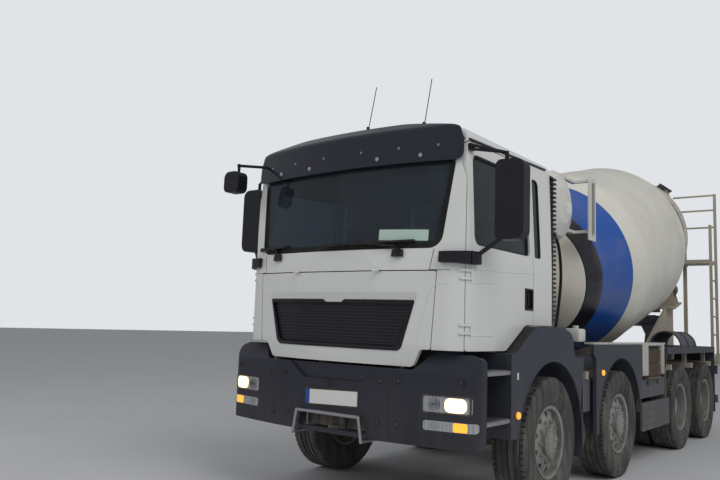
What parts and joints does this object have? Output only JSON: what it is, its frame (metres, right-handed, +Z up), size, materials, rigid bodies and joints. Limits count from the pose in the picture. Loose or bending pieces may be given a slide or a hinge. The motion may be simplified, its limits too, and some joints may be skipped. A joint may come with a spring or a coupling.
{
  "type": "concrete mixer truck",
  "caption": "Heavy forward-control truck with paired steering and driving axles, a tilting cab, a rotating mixing drum on rollers and a swinging discharge chute.",
  "frame": {"origin": "centre of the truck's bounding box, on the ground", "axes": "+X forward, +Y to the truck's left, +Z up"},
  "size_m": [9.184, 2.96, 3.985],
  "materials": {
    "chassis_paint": "satin, dusty",
    "frame_paint": "satin, dusty",
    "cab_paint": "gloss",
    "drum_paint": "gloss",
    "tank_paint": "gloss",
    "grey_paint": "satin, dusty",
    "slate_plastic": "moulded",
    "fender_plastic": "moulded, dusty",
    "black_plastic": "moulded",
    "visor_plastic": "smoked",
    "lamp_plastic": "clear",
    "window_glass": "tinted",
    "seat_fabric": "woven",
    "bright_trim": "brushed",
    "cast_metal": "rough",
    "bare_steel": "worn",
    "chock_plastic": "moulded",
    "funnel_rubber": "matt",
    "tyre_rubber": "dusty"
  },
  "bodies": {
    "chassis": {"frame": "chassis_paint", "towing_fittings": "cast_metal", "mixer_subframe": "frame_paint", "axles": "cast_metal", "engine": "cast_metal", "bumper": "slate_plastic", "lamps": "lamp_plastic", "entry_steps": "bare_steel", "step_wells": "fender_plastic", "front_mudguards": "fender_plastic", "second_mudguards": "fender_plastic", "rear_mudguards": "fender_plastic", "side_panels": "cab_paint", "side_boxes": "grey_paint", "guards": "grey_paint", "wheel_chocks": "chock_plastic", "water_tank": "tank_paint", "drum_drive": "cast_metal", "hopper": "grey_paint", "discharge_funnel": "funnel_rubber", "ladder": "frame_paint", "stored_chute": "grey_paint"},
    "cab": {"cab_shell": "cab_paint", "cab_glass": "window_glass", "sun_visor": "visor_plastic", "dashboard": "black_plastic", "seats": "seat_fabric", "steering_wheel": "black_plastic", "wipers": "black_plastic", "kerb_mirror": "slate_plastic", "mirror_fairings": "slate_plastic", "air_intake": "black_plastic"},
    "flap": {"front_flap": "cab_paint", "grille": "black_plastic", "grille_strip": "bright_trim"},
    "left_door": {"door_left": "cab_paint", "door_glass_left": "window_glass", "mirror_left": "slate_plastic"},
    "right_door": {"door_right": "cab_paint", "door_glass_right": "window_glass", "mirror_right": "slate_plastic"},
    "mixing_drum": {"drum": "drum_paint"},
    "left_roller": {"roller_left": "bare_steel"},
    "right_roller": {"roller_right": "bare_steel"},
    "swing": {"chute_swing": "grey_paint"},
    "trough": {"chute_main": "grey_paint"},
    "folding_trough": {"chute_fold": "grey_paint"},
    "steer_1_left": {"knuckle_1_left": "cast_metal"},
    "hub_1_left": {"wheel_1_left": "tyre_rubber"},
    "steer_1_right": {"knuckle_1_right": "cast_metal"},
    "hub_1_right": {"wheel_1_right": "tyre_rubber"},
    "steer_2_left": {"knuckle_2_left": "cast_metal"},
    "hub_2_left": {"wheel_2_left": "tyre_rubber"},
    "steer_2_right": {"knuckle_2_right": "cast_metal"},
    "hub_2_right": {"wheel_2_right": "tyre_rubber"},
    "twin_3_left": {"twin_wheel_3_left": "tyre_rubber"},
    "twin_3_right": {"twin_wheel_3_right": "tyre_rubber"},
    "twin_4_left": {"twin_wheel_4_left": "tyre_rubber"},
    "twin_4_right": {"twin_wheel_4_right": "tyre_rubber"}
  },
  "joints": [
    {"name": "steer_1_left", "type": "hinge", "parent": "chassis", "child": "steer_1_left", "pos_m": [2.992, 0.93, 0.54], "axis": [0, 0, 1], "range_deg": [-36, 36]},
    {"name": "wheel_1_left_spin", "type": "hinge", "parent": "steer_1_left", "child": "hub_1_left", "pos_m": [2.992, 1.0875, 0.54], "axis": [0, 1, 0], "continuous": true},
    {"name": "steer_1_right", "type": "hinge", "parent": "chassis", "child": "steer_1_right", "pos_m": [2.992, -0.93, 0.54], "axis": [0, 0, 1], "range_deg": [-36, 36]},
    {"name": "wheel_1_right_spin", "type": "hinge", "parent": "steer_1_right", "child": "hub_1_right", "pos_m": [2.992, -1.0875, 0.54], "axis": [0, 1, 0], "continuous": true},
    {"name": "steer_2_left", "type": "hinge", "parent": "chassis", "child": "steer_2_left", "pos_m": [1.197, 0.93, 0.54], "axis": [0, 0, 1], "range_deg": [-24, 24]},
    {"name": "wheel_2_left_spin", "type": "hinge", "parent": "steer_2_left", "child": "hub_2_left", "pos_m": [1.197, 1.0875, 0.54], "axis": [0, 1, 0], "continuous": true},
    {"name": "steer_2_right", "type": "hinge", "parent": "chassis", "child": "steer_2_right", "pos_m": [1.197, -0.93, 0.54], "axis": [0, 0, 1], "range_deg": [-24, 24]},
    {"name": "wheel_2_right_spin", "type": "hinge", "parent": "steer_2_right", "child": "hub_2_right", "pos_m": [1.197, -1.0875, 0.54], "axis": [0, 1, 0], "continuous": true},
    {"name": "twin_3_left_spin", "type": "hinge", "parent": "chassis", "child": "twin_3_left", "pos_m": [-1.308, 0.9125, 0.54], "axis": [0, 1, 0], "continuous": true},
    {"name": "twin_3_right_spin", "type": "hinge", "parent": "chassis", "child": "twin_3_right", "pos_m": [-1.308, -0.9125, 0.54], "axis": [0, 1, 0], "continuous": true},
    {"name": "twin_4_left_spin", "type": "hinge", "parent": "chassis", "child": "twin_4_left", "pos_m": [-2.708, 0.9125, 0.54], "axis": [0, 1, 0], "continuous": true},
    {"name": "twin_4_right_spin", "type": "hinge", "parent": "chassis", "child": "twin_4_right", "pos_m": [-2.708, -0.9125, 0.54], "axis": [0, 1, 0], "continuous": true},
    {"name": "cab_tilt", "type": "hinge", "parent": "chassis", "child": "cab", "pos_m": [4.337, 0, 0.93], "axis": [0, 1, 0], "range_deg": [0, 60]},
    {"name": "flap_lift", "type": "hinge", "parent": "cab", "child": "flap", "pos_m": [4.458, 0, 1.884], "axis": [0, -1, 0], "range_deg": [0, 85]},
    {"name": "left_door_swing", "type": "hinge", "parent": "cab", "child": "left_door", "pos_m": [4.21, 1.1215, 1.9], "axis": [0, 0, -1], "range_deg": [0, 70]},
    {"name": "right_door_swing", "type": "hinge", "parent": "cab", "child": "right_door", "pos_m": [4.21, -1.1215, 1.9], "axis": [0, 0, 1], "range_deg": [0, 70]},
    {"name": "drum_spin", "type": "hinge", "parent": "chassis", "child": "mixing_drum", "pos_m": [0.992, 0, 2.06], "axis": [-0.9703, 0, 0.2419], "continuous": true},
    {"name": "left_roller_spin", "type": "hinge", "parent": "chassis", "child": "left_roller", "pos_m": [-3.1307, 0.63792, 2.183], "axis": [-0.9703, 0, 0.2419], "continuous": true},
    {"name": "right_roller_spin", "type": "hinge", "parent": "chassis", "child": "right_roller", "pos_m": [-3.1307, -0.63792, 2.183], "axis": [-0.9703, 0, 0.2419], "continuous": true},
    {"name": "chute_turn", "type": "hinge", "parent": "chassis", "child": "swing", "pos_m": [-4.37, 0, 1.13], "axis": [0, 0, -1], "range_deg": [0, 180]},
    {"name": "chute_tilt", "type": "hinge", "parent": "swing", "child": "trough", "pos_m": [-4.37, 0, 1.48], "axis": [1, 0, 0], "range_deg": [-8, 35]},
    {"name": "chute_unfold", "type": "hinge", "parent": "trough", "child": "folding_trough", "pos_m": [-4.37, -0.847, 1.813], "axis": [1, 0, 0], "range_deg": [0, 180]}
  ],
  "couplings": [
    {"joint": "steer_1_right", "follows": "steer_1_left", "ratio": 1},
    {"joint": "steer_2_left", "follows": "steer_1_left", "ratio": 0.64},
    {"joint": "steer_2_right", "follows": "steer_1_left", "ratio": 0.64},
    {"joint": "left_roller_spin", "follows": "drum_spin", "ratio": -8.0417},
    {"joint": "right_roller_spin", "follows": "drum_spin", "ratio": -8.0417}
  ]
}
